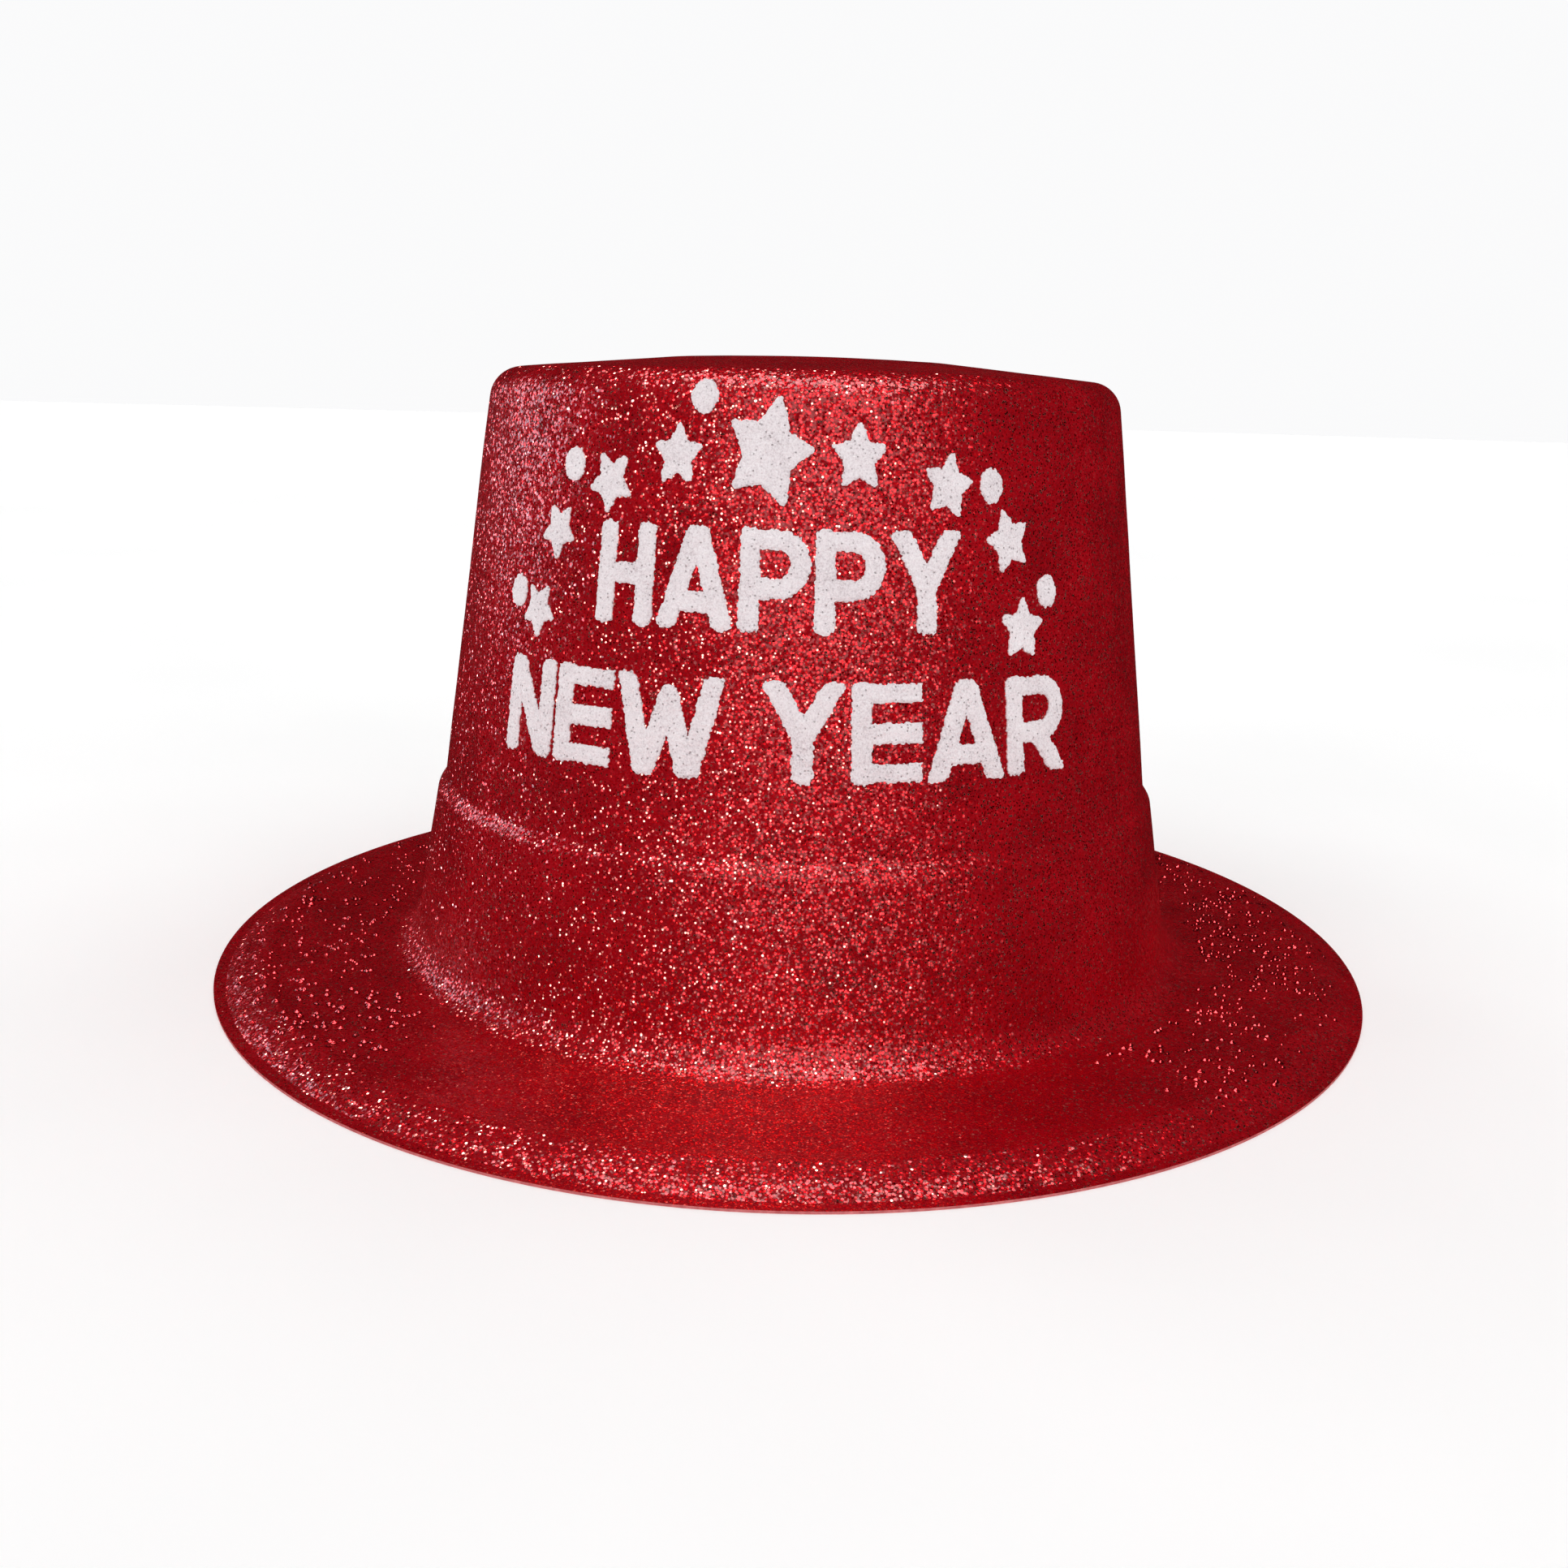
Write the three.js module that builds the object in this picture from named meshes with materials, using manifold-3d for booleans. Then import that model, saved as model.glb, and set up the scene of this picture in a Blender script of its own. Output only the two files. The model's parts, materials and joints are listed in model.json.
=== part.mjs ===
// New year party hat: a vacuum-formed plastic top hat with raised prints on its front.
// Millimetres, +Z up. The hat stands on its brim's edge, the front faces -Y and +X is the viewer's right.
// The origin is at the middle of the hat, on the plane that the brim's edge rests on.

import * as THREE from 'three';
import Module from 'manifold-3d';

const wasm = await Module();
wasm.setup();

// ---- Driving dimensions ----

const BRIM_WIDTH = 266;            // across the hat, along X
const BRIM_LENGTH = 292;           // front to back, along Y
const SHEET = 0.5;                 // thickness of the formed plastic sheet

const CROWN_DEPTH = 1.08;          // the crown is oval: its depth over its width
const BAND_FOOT_RADIUS = 90;       // half of the crown's width where the band would meet the flat brim
const BAND_TOP_RADIUS = 83.8;      // half-widths are taken along X
const BAND_TOP_HEIGHT = 39.7;
const LEDGE_DEPTH = 1.7;           // how far the moulded band stands out of the wall above it
const LEDGE_HEIGHT = 2.4;
const LEDGE_EASE = 0.3;            // share of the ledge that each of its rounded edges takes
const LEDGE_BULGE = 0.1;           // how far the ledge swells out, as a share of its depth
const WALL_TOP_RADIUS = 71.1;
const WALL_TOP_HEIGHT = 127.3;
const TOP_CORNER_RADIUS = 7;
const TOP_DOME_RISE = 4.1;         // the crown's top is slightly domed
const FOOT_FILLET_RADIUS = 7.6;    // between the band and the brim

const BRIM_HEIGHT = 2.9;           // upper face of the flat brim, above the resting plane
const LIP_WIDTH = 2.5;             // flat trimmed lip at the very edge
const LIP_ROUND = 0.8;             // where the border's slope runs out onto the lip
const LIP_ROUND_RISE = 0.24;
const BORDER_WIDTH = 8;            // the border slopes down from its ridge to the lip
const SHOULDER_REACH = 6;          // from the very edge in to the shoulder, where the slope steepens
const SHOULDER_HEIGHT = 2.3;
const RIDGE_RISE = 0.75;           // the border's ridge stands above the flat brim
const RIDGE_WIDTH = 3.5;
const RIDGE_ROUND = 1;
const RIDGE_DROP = 0.1;            // the ridge's inner side is a little lower than its outer side

const SEGMENTS_AROUND = 64;
const DOME_STEPS = 3;
const CORNER_STEPS = 5;
const FILLET_STEPS = 5;

const PRINT_GAP = 0.3;             // clearance that separate solids keep
const PRINT_THICKNESS = 0.5;
const PRINT_RADIUS = 77;           // across the front, this radius turns a print's width into an angle
const PRINT_STRETCH = 1.18;        // stars and dots are taller than wide
const CAP_HEIGHT = 19.5;
const STROKE = 4;                  // thickness of a letter's stroke
const LETTER_GAP = 0.8;
const WORD_GAP = 6.6;
const ROUND_END_STEP = Math.PI / 6; // round ends share one set of directions, so that joined strokes fit
const STEP_TOLERANCE = 0.01;       // a direction this near to a step counts as being on it
const BOWL_STEPS = 4;
const WIDEST_FACE = 5;             // a print's faces are divided until they follow the crown
const WIDEST_DOT_FACE = 2.8;
const TALL_SHARE = 0.25;           // the crown is straight upwards, so a face may be this much taller

const STAR_INNER_SHARE = 0.58;     // inner radius of a star over its outer radius
const DOT_RADIUS = 2.8;
const DOT_SIDES = 12;

// ---- The crown's outline, which the shell and the prints share ----

const wallFoot = new THREE.Vector2(BAND_TOP_RADIUS - LEDGE_DEPTH, BAND_TOP_HEIGHT + LEDGE_HEIGHT);
const wallTop = new THREE.Vector2(WALL_TOP_RADIUS, WALL_TOP_HEIGHT);
const wallLength = wallFoot.distanceTo(wallTop);
const wallLean = Math.asin((wallFoot.x - wallTop.x) / wallLength);
const cornerCentre = new THREE.Vector2(
  wallTop.x - TOP_CORNER_RADIUS * Math.cos(wallLean),
  wallTop.y - TOP_CORNER_RADIUS * Math.sin(wallLean),
);

// The dome meets the corner where both have the same slope.
const domeSlope = 2 * Math.atan(TOP_DOME_RISE / cornerCentre.x);
const domeEdge = new THREE.Vector2(
  cornerCentre.x + TOP_CORNER_RADIUS * Math.sin(domeSlope),
  cornerCentre.y + TOP_CORNER_RADIUS * Math.cos(domeSlope),
);
const domeRadius = domeEdge.x / Math.sin(domeSlope);

/** Points on an arc, from one angle to the other, both ends included. */
function arcPoints(centre, radius, fromAngle, toAngle, steps) {
  const points = [];
  for (let step = 0; step <= steps; step += 1) {
    const angle = fromAngle + ((toAngle - fromAngle) * step) / steps;
    points.push(new THREE.Vector2(
      centre.x + radius * Math.cos(angle),
      centre.y + radius * Math.sin(angle),
    ));
  }
  return points;
}

/** The domed top, from the axis out to the corner. */
function domeOutline() {
  const centre = new THREE.Vector2(0, domeEdge.y - domeRadius * Math.cos(domeSlope));
  const edgeAngle = Math.PI / 2 - domeSlope;
  return arcPoints(centre, domeRadius, Math.PI / 2, edgeAngle, DOME_STEPS);
}

/** The rounded corner between the top and the wall. */
function cornerOutline() {
  const edgeAngle = Math.PI / 2 - domeSlope;
  return arcPoints(cornerCentre, TOP_CORNER_RADIUS, edgeAngle, wallLean, CORNER_STEPS).slice(1);
}

/** The ledge at the top of the band: the wall runs out over a small swelling, and in again. */
function ledgeOutline() {
  const swelling = [LEDGE_EASE, 1 - LEDGE_EASE].map((share) => new THREE.Vector2(
    wallFoot.x + (share + LEDGE_BULGE) * LEDGE_DEPTH,
    wallFoot.y - share * LEDGE_HEIGHT,
  ));
  return [wallFoot, ...swelling, new THREE.Vector2(BAND_TOP_RADIUS, BAND_TOP_HEIGHT)];
}

/** The fillet between the band and the flat brim, tangent to both. */
function footOutline() {
  const bandLean = Math.atan((BAND_FOOT_RADIUS - BAND_TOP_RADIUS) / (BAND_TOP_HEIGHT - BRIM_HEIGHT));
  const reach = FOOT_FILLET_RADIUS / Math.tan((Math.PI / 2 + bandLean) / 2);
  const centre = new THREE.Vector2(BAND_FOOT_RADIUS + reach, BRIM_HEIGHT + FOOT_FILLET_RADIUS);
  return arcPoints(centre, FOOT_FILLET_RADIUS, Math.PI + bandLean, 1.5 * Math.PI, FILLET_STEPS);
}

/** The brim's border: up to the ridge, down over the shoulder, and out over the flat lip. */
function borderOutline() {
  const edge = BRIM_WIDTH / 2;
  const lipStart = edge - LIP_WIDTH;
  const ridge = lipStart - BORDER_WIDTH;
  const ridgeHeight = BRIM_HEIGHT + RIDGE_RISE;
  return [
    new THREE.Vector2(ridge - RIDGE_WIDTH, BRIM_HEIGHT),
    new THREE.Vector2(ridge - RIDGE_ROUND, ridgeHeight - RIDGE_DROP),
    new THREE.Vector2(ridge + RIDGE_ROUND, ridgeHeight),
    new THREE.Vector2(edge - SHOULDER_REACH, SHOULDER_HEIGHT),
    new THREE.Vector2(lipStart - LIP_ROUND, SHEET + LIP_ROUND_RISE),
    new THREE.Vector2(lipStart, SHEET),
    new THREE.Vector2(edge, SHEET),
  ];
}

/** The direction of an outline's side, which is counted from its first point. */
function sideDirection(outline, side) {
  const index = THREE.MathUtils.clamp(side, 0, outline.length - 2);
  return outline[index + 1].clone().sub(outline[index]).normalize();
}

/** Moves an outline one sheet thickness to its inner side. */
function insideOf(outline) {
  return outline.map((point, index) => {
    const incoming = sideDirection(outline, index - 1);
    const outgoing = sideDirection(outline, index);
    const along = incoming.clone().add(outgoing).normalize();
    const inward = new THREE.Vector2(along.y, -along.x);
    return point.clone().addScaledVector(inward, SHEET / along.dot(incoming));
  });
}

/** The shell is oval: depth over width grows from the crown's ratio to the brim's. */
function depthRatio(radius) {
  const brimRatio = BRIM_LENGTH / BRIM_WIDTH;
  const share = THREE.MathUtils.smoothstep(radius, BAND_FOOT_RADIUS, BRIM_WIDTH / 2);
  return THREE.MathUtils.lerp(CROWN_DEPTH, brimRatio, share);
}

/** The whole formed sheet: crown, moulded band and brim are one piece of plastic. */
function shellGeometry() {
  const outer = [
    ...domeOutline(),
    ...cornerOutline(),
    ...ledgeOutline(),
    ...footOutline(),
    ...borderOutline(),
  ];
  const inner = insideOf(outer);
  inner[0].x = 0;
  const geometry = new THREE.LatheGeometry([...inner, ...outer.reverse()], SEGMENTS_AROUND);
  geometry.rotateX(Math.PI / 2);
  const position = geometry.attributes.position;
  for (let index = 0; index < position.count; index += 1) {
    const radius = Math.hypot(position.getX(index), position.getY(index));
    position.setY(index, position.getY(index) * depthRatio(radius));
  }
  geometry.computeVertexNormals();
  return geometry;
}

// ---- Prints: flat shapes, wrapped onto the front of the crown ----

/** A place on the crown: across from the front's middle, up from the band, and out of the surface. */
function onCrown(across, up, out) {
  const pastWall = Math.max(up - wallLength, 0);
  const slope = wallLean + pastWall / TOP_CORNER_RADIUS;
  let radius = wallFoot.x - up * Math.sin(wallLean);
  let height = wallFoot.y + up * Math.cos(wallLean);
  if (pastWall > 0) {
    radius = cornerCentre.x + TOP_CORNER_RADIUS * Math.cos(slope);
    height = cornerCentre.y + TOP_CORNER_RADIUS * Math.sin(slope);
  }
  radius += out * Math.cos(slope);
  height += out * Math.sin(slope);
  const angle = across / PRINT_RADIUS;
  return [radius * Math.sin(angle), -radius * Math.cos(angle) * CROWN_DEPTH, height];
}

/** Divides every edge longer than the limit, with one shared middle point for both faces beside it. */
function divideLongEdges(points, faces, limit, tallShare) {
  const sizeOf = (first, second) => {
    const step = points[second].clone().sub(points[first]);
    return Math.hypot(step.x, step.y * tallShare);
  };
  const middles = new Map();
  const middleOf = (first, second) => {
    const key = first < second ? `${first},${second}` : `${second},${first}`;
    if (!middles.has(key)) {
      points.push(points[first].clone().lerp(points[second], 0.5));
      middles.set(key, points.length - 1);
    }
    return middles.get(key);
  };
  const waiting = [...faces];
  const done = [];
  while (waiting.length > 0) {
    const face = waiting.pop();
    const lengths = face.map((corner, side) => sizeOf(corner, face[(side + 1) % 3]));
    const longest = lengths.indexOf(Math.max(...lengths));
    if (lengths[longest] <= limit) {
      done.push(face);
    } else {
      const [start, end, far] = [0, 1, 2].map((turn) => face[(longest + turn) % 3]);
      const middle = middleOf(start, end);
      waiting.push([start, middle, far], [middle, end, far]);
    }
  }
  return done;
}

/** Turns a flat shape into a solid for manifold-3d, as thick as the print. */
function flatSolid(shape) {
  const plate = new THREE.ExtrudeGeometry(shape, { depth: PRINT_THICKNESS, bevelEnabled: false });
  const corners = new Map();
  const vertices = [];
  const faces = [];
  const position = plate.attributes.position;
  for (let index = 0; index < position.count; index += 1) {
    const place = [position.getX(index), position.getY(index), position.getZ(index)];
    const key = place.map((value) => value.toFixed(4)).join();
    if (!corners.has(key)) {
      corners.set(key, vertices.length / 3);
      vertices.push(...place);
    }
    faces.push(corners.get(key));
  }
  return new wasm.Manifold(new wasm.Mesh({
    numProp: 3,
    vertProperties: Float32Array.from(vertices),
    triVerts: Uint32Array.from(faces),
  }));
}

/** Wraps a flat solid onto the crown, with its middle at (across, up). */
function wrapSolid(solid, across, up, limit = WIDEST_FACE, tallShare = TALL_SHARE) {
  const mesh = solid.getMesh();
  const points = [];
  for (let index = 0; index < mesh.numVert; index += 1) {
    points.push(new THREE.Vector3(...mesh.position(index)));
  }
  const faces = [];
  for (let index = 0; index < mesh.numTri; index += 1) {
    faces.push([...mesh.verts(index)]);
  }
  const divided = divideLongEdges(points, faces, limit, tallShare);
  const places = points.flatMap((point) => (
    onCrown(across + point.x, up + point.y, PRINT_GAP + point.z)
  ));
  const geometry = new THREE.BufferGeometry();
  geometry.setAttribute('position', new THREE.Float32BufferAttribute(places, 3));
  geometry.setIndex(divided.flat());
  geometry.computeVertexNormals();
  return geometry;
}

// ---- Letters, drawn as thick strokes and cut to the letter's rectangle ----
// Each entry gives the strokes as lists of [x, y] points in a letter w wide and h high,
// where s is half a stroke, so a stem at the left runs along x = s.

const BOWL_FOOT = 0.42;            // height of the lower side of P's and R's bowl, as a share
const BAR_HEIGHT = 0.27;           // height of A's bar, as a share
const FORK_HEIGHT = 0.45;          // height of Y's fork, as a share
const PEAK_HEIGHT = 0.8;           // height of W's middle peak, as a share

/** The round part of P and R. */
function bowl(w, h, s) {
  const top = h - s;
  const foot = BOWL_FOOT * h;
  const radius = (top - foot) / 2;
  const centre = new THREE.Vector2(w - s - radius, foot + radius);
  const round = arcPoints(centre, radius, Math.PI / 2, -Math.PI / 2, BOWL_STEPS);
  return [[s, top], ...round.map((point) => [point.x, point.y]), [s, foot]];
}

const LETTERS = {
  H: {
    width: 13,
    strokes: (w, h, s) => [
      [[s, 0], [s, h]],
      [[w - s, 0], [w - s, h]],
      [[s, h / 2], [w - s, h / 2]],
    ],
  },
  A: {
    width: 16,
    strokes: (w, h, s) => [
      [[s, 0], [w / 2, h], [w - s, 0]],
      [[w / 3, BAR_HEIGHT * h], [w - w / 3, BAR_HEIGHT * h]],
    ],
  },
  P: {
    width: 14,
    strokes: (w, h, s) => [
      [[s, 0], [s, h]],
      bowl(w, h, s),
    ],
  },
  Y: {
    width: 15.5,
    strokes: (w, h, s) => [
      [[s, h], [w / 2, FORK_HEIGHT * h], [w - s, h]],
      [[w / 2, FORK_HEIGHT * h], [w / 2, 0]],
    ],
  },
  N: {
    width: 13,
    strokes: (w, h, s) => [
      [[s, 0], [s, h], [w - s, 0], [w - s, h]],
    ],
  },
  E: {
    width: 13,
    strokes: (w, h, s) => [
      [[s, 0], [s, h]],
      [[s, s], [w, s]],
      [[s, h / 2], [w, h / 2]],
      [[s, h - s], [w, h - s]],
    ],
  },
  W: {
    width: 21,
    strokes: (w, h, s) => [
      [[s, h], [0.3 * w, 0], [w / 2, PEAK_HEIGHT * h], [0.7 * w, 0], [w - s, h]],
    ],
  },
  R: {
    width: 14.5,
    strokes: (w, h, s) => [
      [[s, 0], [s, h]],
      bowl(w, h, s),
      [[w / 2, BOWL_FOOT * h], [w - s, 0]],
    ],
  },
};

/** The half circle around a stroke's end, on the directions that all round ends share. */
function roundEnd([x, y], heading) {
  const first = Math.ceil((heading - Math.PI / 2) / ROUND_END_STEP - STEP_TOLERANCE);
  const last = Math.floor((heading + Math.PI / 2) / ROUND_END_STEP + STEP_TOLERANCE);
  const points = [];
  for (let step = first; step <= last; step += 1) {
    const angle = step * ROUND_END_STEP;
    points.push(new THREE.Vector2(
      x + (STROKE / 2) * Math.cos(angle),
      y + (STROKE / 2) * Math.sin(angle),
    ));
  }
  return points;
}

/** One straight stroke with round ends, between two points. */
function strokeSolid(start, end) {
  const heading = Math.atan2(end[1] - start[1], end[0] - start[0]);
  return flatSolid(new THREE.Shape([...roundEnd(end, heading), ...roundEnd(start, heading + Math.PI)]));
}

/** The rectangle that a letter is cut to, so that its strokes end flat. */
function rectangleSolid(width, height) {
  return flatSolid(new THREE.Shape([
    new THREE.Vector2(0, 0),
    new THREE.Vector2(width, 0),
    new THREE.Vector2(width, height),
    new THREE.Vector2(0, height),
  ]));
}

/** A whole letter as one solid, with its lower left corner at the origin. */
function letterSolid(letter, width) {
  const strokes = LETTERS[letter].strokes(width, CAP_HEIGHT, STROKE / 2);
  const pieces = strokes.flatMap((stroke) => (
    stroke.slice(1).map((point, index) => strokeSolid(stroke[index], point))
  ));
  const joined = pieces.reduce((whole, piece) => whole.add(piece));
  return joined.intersect(rectangleSolid(width, CAP_HEIGHT));
}

const printMaterial = () => new THREE.MeshStandardMaterial({
  color: 0xf3ebee,
  roughness: 0.9,
  metalness: 0,
});

// A row's letters are widened to fill its length. Its middle is across from the front's middle,
// and its base is up from the band's ledge.
const ROWS = [
  { words: ['HAPPY'], middle: -1.2, base: 43.2, length: 74 },
  { words: ['NEW', 'YEAR'], middle: 0, base: 15, length: 121 },
];

/** Adds one row of letters, each a separate print named after its word and place. */
function addRow(hat, row) {
  const letters = row.words.flatMap((word, wordIndex) => (
    [...word].map((letter, index) => ({
      letter,
      name: `${word.toLowerCase()}_${index + 1}_${letter.toLowerCase()}`,
      gap: index > 0 ? LETTER_GAP : wordIndex * WORD_GAP,
    }))
  ));
  const gaps = letters.reduce((sum, item) => sum + item.gap, 0);
  const natural = letters.reduce((sum, item) => sum + LETTERS[item.letter].width, 0);
  const widen = (row.length - gaps) / natural;
  let left = row.middle - row.length / 2;
  for (const item of letters) {
    const width = LETTERS[item.letter].width * widen;
    left += item.gap;
    const geometry = wrapSolid(letterSolid(item.letter, width), left, row.base);
    addMesh(hat, item.name, geometry, printMaterial());
    left += width;
  }
}

// ---- Stars and dots ----

/** A five-pointed star, taller than wide, turned clockwise. */
function starShape(radius, turn) {
  const points = [];
  for (let corner = 0; corner < 10; corner += 1) {
    const reach = corner % 2 === 0 ? radius : radius * STAR_INNER_SHARE;
    const angle = Math.PI / 2 - turn + (corner * Math.PI) / 5;
    points.push(new THREE.Vector2(reach * Math.cos(angle), reach * Math.sin(angle) * PRINT_STRETCH));
  }
  return new THREE.Shape(points);
}

/** A round dot, taller than wide. */
function dotShape() {
  const points = [];
  for (let side = 0; side < DOT_SIDES; side += 1) {
    const angle = (side * 2 * Math.PI) / DOT_SIDES;
    points.push(new THREE.Vector2(
      DOT_RADIUS * Math.cos(angle),
      DOT_RADIUS * Math.sin(angle) * PRINT_STRETCH,
    ));
  }
  return new THREE.Shape(points);
}

// Places are across from the front's middle and up from the band's ledge; turns are clockwise degrees.
const STARS = [
  { name: 'star_top', across: -3.5, up: 76.5, radius: 9, turn: 14 },
  { name: 'star_left_1', across: -22, up: 75.5, radius: 5.2, turn: 0 },
  { name: 'star_left_2', across: -37, up: 70, radius: 5.2, turn: 40 },
  { name: 'star_left_3', across: -50, up: 60, radius: 4.8, turn: 36 },
  { name: 'star_left_4', across: -54, up: 44, radius: 4.8, turn: 32 },
  { name: 'star_right_1', across: 14.5, up: 76, radius: 5.6, turn: 0 },
  { name: 'star_right_2', across: 33, up: 71, radius: 5.4, turn: 10 },
  { name: 'star_right_3', across: 47, up: 60.5, radius: 5.4, turn: -14 },
  { name: 'star_right_4', across: 50, up: 43.5, radius: 5.4, turn: 4 },
];

const DOTS = [
  { name: 'dot_top', across: -17, up: 86.5 },
  { name: 'dot_left_1', across: -47, up: 73 },
  { name: 'dot_left_2', across: -61, up: 47 },
  { name: 'dot_right_1', across: 43, up: 71 },
  { name: 'dot_right_2', across: 57, up: 50.5 },
];

// ---- Assembly ----

function addMesh(hat, name, geometry, material) {
  const mesh = new THREE.Mesh(geometry, material);
  mesh.name = name;
  hat.add(mesh);
}

const hat = new THREE.Group();

addMesh(hat, 'shell', shellGeometry(), new THREE.MeshStandardMaterial({
  color: 0x9c0f18,
  roughness: 0.45,
  metalness: 0.4,
}));

for (const row of ROWS) {
  addRow(hat, row);
}

for (const star of STARS) {
  const solid = flatSolid(starShape(star.radius, THREE.MathUtils.degToRad(star.turn)));
  addMesh(hat, star.name, wrapSolid(solid, star.across, star.up), printMaterial());
}

for (const dot of DOTS) {
  const geometry = wrapSolid(flatSolid(dotShape()), dot.across, dot.up, WIDEST_DOT_FACE, 1);
  addMesh(hat, dot.name, geometry, printMaterial());
}

export default hat;
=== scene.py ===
"""The looks of a new year party hat: a vacuum-formed glitter top hat with raised white prints.

Lengths are in millimetres until a mesh is made, and MM turns them into metres.
The hat's front faces -Y, +X is the viewer's right, and the brim's edge rests on z = 0.
"""

import itertools
import json
import math

import bpy
import numpy as np
from mathutils import Matrix, Vector

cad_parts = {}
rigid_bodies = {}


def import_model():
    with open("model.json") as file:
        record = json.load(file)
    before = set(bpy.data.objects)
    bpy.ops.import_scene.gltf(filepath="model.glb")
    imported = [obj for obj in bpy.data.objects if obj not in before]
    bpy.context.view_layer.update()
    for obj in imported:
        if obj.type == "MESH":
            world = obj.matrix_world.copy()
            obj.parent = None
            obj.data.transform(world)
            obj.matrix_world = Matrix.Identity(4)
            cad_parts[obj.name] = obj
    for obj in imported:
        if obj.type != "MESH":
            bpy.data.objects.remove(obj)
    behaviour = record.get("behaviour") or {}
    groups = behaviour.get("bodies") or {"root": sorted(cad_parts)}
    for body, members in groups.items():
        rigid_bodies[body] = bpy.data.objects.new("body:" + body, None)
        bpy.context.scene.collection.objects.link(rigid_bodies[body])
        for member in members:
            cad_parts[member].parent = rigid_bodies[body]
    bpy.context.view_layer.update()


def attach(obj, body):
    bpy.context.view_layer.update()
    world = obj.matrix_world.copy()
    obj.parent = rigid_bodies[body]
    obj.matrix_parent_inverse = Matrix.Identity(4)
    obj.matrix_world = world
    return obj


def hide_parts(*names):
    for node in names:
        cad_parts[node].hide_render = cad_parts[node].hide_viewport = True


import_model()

MM = 0.001

# ---- The shell's dimensions, the same as the solid part's ----

BRIM_WIDTH = 266.0
BRIM_LENGTH = 292.0
SHEET = 0.5                   # thickness of the formed plastic sheet
CROWN_DEPTH = 1.08            # the crown's depth over its width
TOP_CORNER_RADIUS = 7.0
TOP_DOME_RISE = 4.1
FOOT_FILLET_RADIUS = 7.6      # between the band and the brim

# Corners of the outline, as (half-width along X, height), and the radii that round them
WALL_TOP = (71.1, 127.3)
WALL_FOOT = (82.1, 42.1)
WALL_FOOT_ROUND = 2.4
BAND_TOP = (83.8, 39.7)
BAND_TOP_ROUND = 2.6
BAND_FOOT = (90.0, 2.9)
BORDER_START = (119.0, 2.9)
BORDER_START_ROUND = 5.0
BORDER_RIDGE = (122.3, 3.65)
BORDER_RIDGE_ROUND = 2.4
BORDER_SHOULDER = (127.0, 2.3)
BORDER_SHOULDER_ROUND = 12.0
LIP_START = (130.5, 0.5)
LIP_START_ROUND = 0.7
BRIM_EDGE = (133.0, 0.5)

# The sheet isn't quite even: layers of (strength, size, seed)
SHEET_WAVES = [(0.16, 27.0, 11), (0.05, 9.0, 12)]
CALM_EDGE = 12.0              # the waves die out over this distance from the brim's edge

# ---- The shell's mesh ----

SEGMENTS_AROUND = 288
ROW_SPACING = 2.2             # between rows on straight stretches of the outline
ARC_STEP = math.radians(7)    # between rows on round stretches
SHARP_ANGLE = math.radians(50)
SKIN_SHARE = 0.48             # the glitter skin's share of the sheet; the inner face has the rest
LAYER_GAP_SHARE = 0.02        # the gap between the two
NOISE_TABLE_SIZE = 32
FACE_KIND, CUT_KIND, BLISTER_KIND = range(3)  # which of its piece's materials a face has

# ---- Blisters: small raised bubbles in the brim's plastic ----

BLISTER_CLUSTERS = 420
BLISTER_REACH = math.radians(138)  # from the back round to each side
BLISTER_ZONE = (99.0, 126.0)  # half-widths between which a cluster's middle lies
BLISTER_LIMIT = 128.0         # half-width that no blister's middle passes
CLUSTER_MEMBERS = (2, 6)      # at least the first and fewer than the second
CLUSTER_ANGLE = 0.035         # spread of a cluster round the hat, in radians
CLUSTER_WIDTH = 2.6           # spread of a cluster across the brim
BLISTER_SIZES = (0.5, 0.85)
BLISTER_STRETCH = (1.0, 1.35)
BLISTER_RISE = (0.5, 0.75)    # a blister's height over its size
BLISTER_SINK = 0.03           # how far a blister's edge lies below the skin's surface
BLISTER_SIDES = 10
BLISTER_RINGS = (1.0, 0.85, 0.65, 0.42, 0.2)  # shares of a blister's size
FLAT_BRIM_START = BAND_FOOT[0] + 0.8 * FOOT_FILLET_RADIUS  # half-width where the fillet runs out

# ---- Glitter ----

FLAKE_SIZE = 0.48             # a flake's width
FLAKE_TILT = 0.4
FLAT_TILT_SHARE = 0.55        # flakes lie flatter where the sheet wasn't stretched over the mould

# ---- Prints ----

PRINT_RADIUS = 77.0           # across the front, this radius turns a print's width into an angle
PRINT_STRETCH = 1.18          # stars and dots are taller than wide
PRINT_THICKNESS = 0.5
PRINT_SINK = 0.12             # how far a print's underside lies below the skin's surface
PRINT_GRID = 0.17             # spacing of a print's mesh
PRINT_EDGE_SHARE = 0.45       # a print's thickness at its edge over its full thickness
PRINT_BEVEL = 0.6             # from a print's edge in to its full thickness
RAGGED_EDGE = [(0.24, 0.5, 21), (0.12, 1.1, 22)]  # layers of (strength, size, seed)
SANDY_TOP = [(0.07, 0.5, 23), (0.05, 1.4, 24)]
SANDY_START = 0.4             # from a print's edge in to where its top is fully sandy
LEAST_SLOPE = 0.3             # of a distance field, where the mesh is pulled to its edge

CAP_HEIGHT = 19.5
STROKE = 4.0
CORNER_ROUNDING = 1.5         # at the ends of a letter's strokes
LETTER_GAP = 0.8
WORD_GAP = 6.6
BOWL_FOOT = 0.42              # height of the lower side of P's and R's bowl, as a share
BAR_HEIGHT = 0.27             # height of A's bar
FORK_HEIGHT = 0.45            # height of Y's fork
PEAK_HEIGHT = 0.8             # height of W's middle peak
VALLEY_PLACE = 0.3            # of W's valleys from its sides, as a share of its width

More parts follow.
